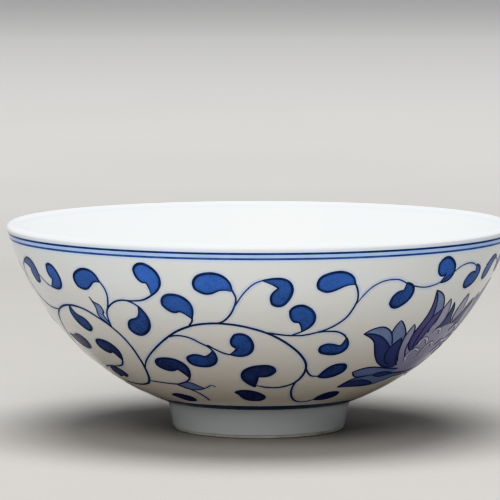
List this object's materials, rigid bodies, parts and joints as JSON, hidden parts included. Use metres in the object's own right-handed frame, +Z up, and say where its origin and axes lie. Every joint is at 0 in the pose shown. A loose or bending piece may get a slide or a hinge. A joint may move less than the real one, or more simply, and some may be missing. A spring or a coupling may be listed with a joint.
{
  "type": "tea bowl",
  "caption": "Wide handleless porcelain tea bowl on a turned foot ring, with scrolling cobalt-blue painting under a clear glaze.",
  "frame": {"origin": "centre of the foot ring's resting face", "axes": "+Z up along the bowl's axis of revolution, -Y towards the side seen in the picture"},
  "size_m": [0.09, 0.09, 0.037],
  "materials": {
    "porcelain": "matte",
    "glaze": "gloss",
    "cobalt": "gloss",
    "cobalt_wash": "gloss"
  },
  "bodies": {
    "root": {"bowl_wall": "porcelain", "foot_ring": "porcelain", "glaze_coat": "glaze", "base_glaze": "glaze", "foot_line": "cobalt", "lower_rim_line": "cobalt", "upper_rim_line": "cobalt"}
  },
  "joints": []
}
